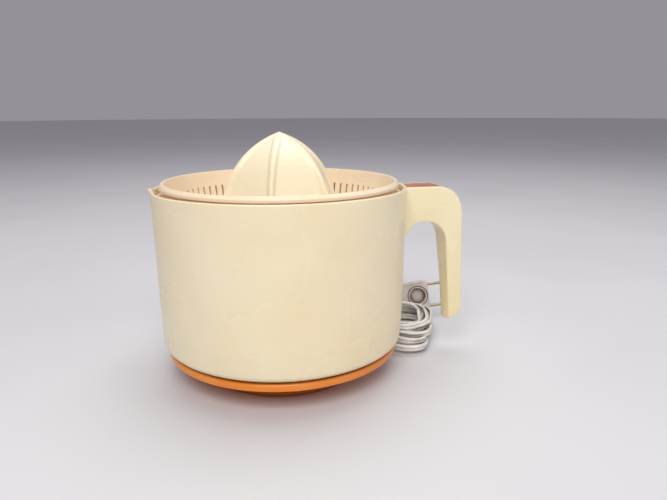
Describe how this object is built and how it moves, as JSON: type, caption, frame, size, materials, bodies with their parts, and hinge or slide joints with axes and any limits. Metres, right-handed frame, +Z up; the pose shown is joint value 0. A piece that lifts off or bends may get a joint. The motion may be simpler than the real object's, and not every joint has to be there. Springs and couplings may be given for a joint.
{
  "type": "citrus juicer",
  "caption": "Electric citrus juicer: handled jug with pouring lip on a round motor base, lift-out slotted strainer and ribbed reamer cone that starts the motor when pressed.",
  "frame": {"origin": "where the jug's axis meets the surface that the base stands on", "axes": "+Z up along the jug's axis, +X towards the handle, the pouring lip on -X, the cord and plug on the +X +Y side"},
  "size_m": [0.24, 0.1734, 0.1634],
  "materials": {
    "cream_plastic": "aged cream moulding, satin gloss",
    "handle_plastic": "slightly yellower cream moulding, satin gloss",
    "cone_plastic": "pale cream moulding, satin gloss",
    "orange_plastic": "glossy orange moulding",
    "dark_orange_plastic": "darker orange moulding",
    "terracotta_plastic": "terracotta insert",
    "nylon": "natural nylon",
    "black_plastic": "black phenolic",
    "cord_pvc": "off-white flexible vinyl",
    "pad_rubber": "black rubber",
    "steel": "plated steel",
    "lamination": "varnished steel sheets",
    "brass": "plated brass",
    "bronze": "sintered bronze and copper",
    "winding": "taped copper winding"
  },
  "bodies": {
    "base": {"base_pan": "dark_orange_plastic", "foot_1": "pad_rubber", "foot_2": "pad_rubber", "foot_3": "pad_rubber", "pan_screw_1": "steel", "pan_screw_2": "steel", "pan_screw_3": "steel", "base_housing": "orange_plastic", "stator": "lamination", "coil_core": "lamination", "coil_bobbin": "nylon", "coil_winding": "winding", "shading_ring_1": "bronze", "shading_ring_2": "bronze", "motor_bracket": "steel", "motor_screw_1": "steel", "motor_screw_2": "steel", "bearing_lower": "bronze", "bearing_upper": "bronze", "gear_plate": "steel", "idler_post": "steel", "gear_plate_screw_1": "steel", "gear_plate_screw_2": "steel", "gear_plate_screw_3": "steel", "return_spring": "steel", "micro_switch": "black_plastic", "terminal_block": "nylon", "cord_clamp": "nylon", "strain_relief": "cord_pvc", "cord_lead": "cord_pvc", "cord_hank": "cord_pvc", "cord_tail": "cord_pvc", "plug_body": "cord_pvc", "plug_pin_1": "brass", "plug_pin_2": "brass"},
    "rotor": {"rotor_core": "lamination", "rotor_shaft": "steel", "motor_pinion": "brass"},
    "idler": {"idler_gear": "nylon"},
    "sleeve": {"press_sleeve": "nylon"},
    "shaft": {"output_shaft": "steel", "output_gear": "nylon", "shaft_clip": "steel"},
    "plunger": {"switch_plunger": "terracotta_plastic"},
    "jug": {"jug": "cream_plastic", "jug_handle": "handle_plastic", "handle_inlay": "terracotta_plastic", "handle_screw_1": "steel", "handle_screw_2": "steel"},
    "strainer": {"strainer": "cream_plastic"},
    "bush": {"spindle_bush": "nylon"},
    "spindle": {"drive_spindle": "nylon"},
    "cone": {"reamer_cone": "cone_plastic"}
  },
  "joints": [
    {"name": "jug_lift", "type": "slide", "parent": "base", "child": "jug", "axis": [0, 0, 1], "range_m": [0, 0.09]},
    {"name": "strainer_lift", "type": "slide", "parent": "jug", "child": "strainer", "axis": [0, 0, 1], "range_m": [0, 0.045]},
    {"name": "cone_press", "type": "slide", "parent": "strainer", "child": "bush", "axis": [0, 0, 1], "range_m": [-0.002, 0], "stiffness_N_per_m": 900, "springref_m": 0.0015},
    {"name": "cone_spin", "type": "hinge", "parent": "bush", "child": "spindle", "pos_m": [0, 0, 0.11], "axis": [0, 0, 1], "continuous": true},
    {"name": "cone_lift", "type": "slide", "parent": "spindle", "child": "cone", "axis": [0, 0, 1], "range_m": [0, 0.04]},
    {"name": "sleeve_press", "type": "slide", "parent": "base", "child": "sleeve", "axis": [0, 0, 1], "range_m": [-0.002, 0], "deforming": ["return_spring"]},
    {"name": "shaft_spin", "type": "hinge", "parent": "sleeve", "child": "shaft", "pos_m": [0, 0, 0.08], "axis": [0, 0, 1], "continuous": true},
    {"name": "idler_spin", "type": "hinge", "parent": "base", "child": "idler", "pos_m": [0.0182, 0, 0.06], "axis": [0, 0, 1], "continuous": true},
    {"name": "rotor_spin", "type": "hinge", "parent": "base", "child": "rotor", "pos_m": [0, 0, 0.04], "axis": [0, 0, 1], "continuous": true},
    {"name": "plunger_press", "type": "slide", "parent": "base", "child": "plunger", "axis": [0, 0, 1], "range_m": [-0.002, 0]}
  ],
  "couplings": [
    {"joint": "sleeve_press", "follows": "cone_press", "ratio": 1},
    {"joint": "plunger_press", "follows": "cone_press", "ratio": 1},
    {"joint": "idler_spin", "follows": "rotor_spin", "ratio": -0.21739},
    {"joint": "shaft_spin", "follows": "rotor_spin", "ratio": 0.047259},
    {"joint": "cone_spin", "follows": "rotor_spin", "ratio": 0.047259}
  ]
}
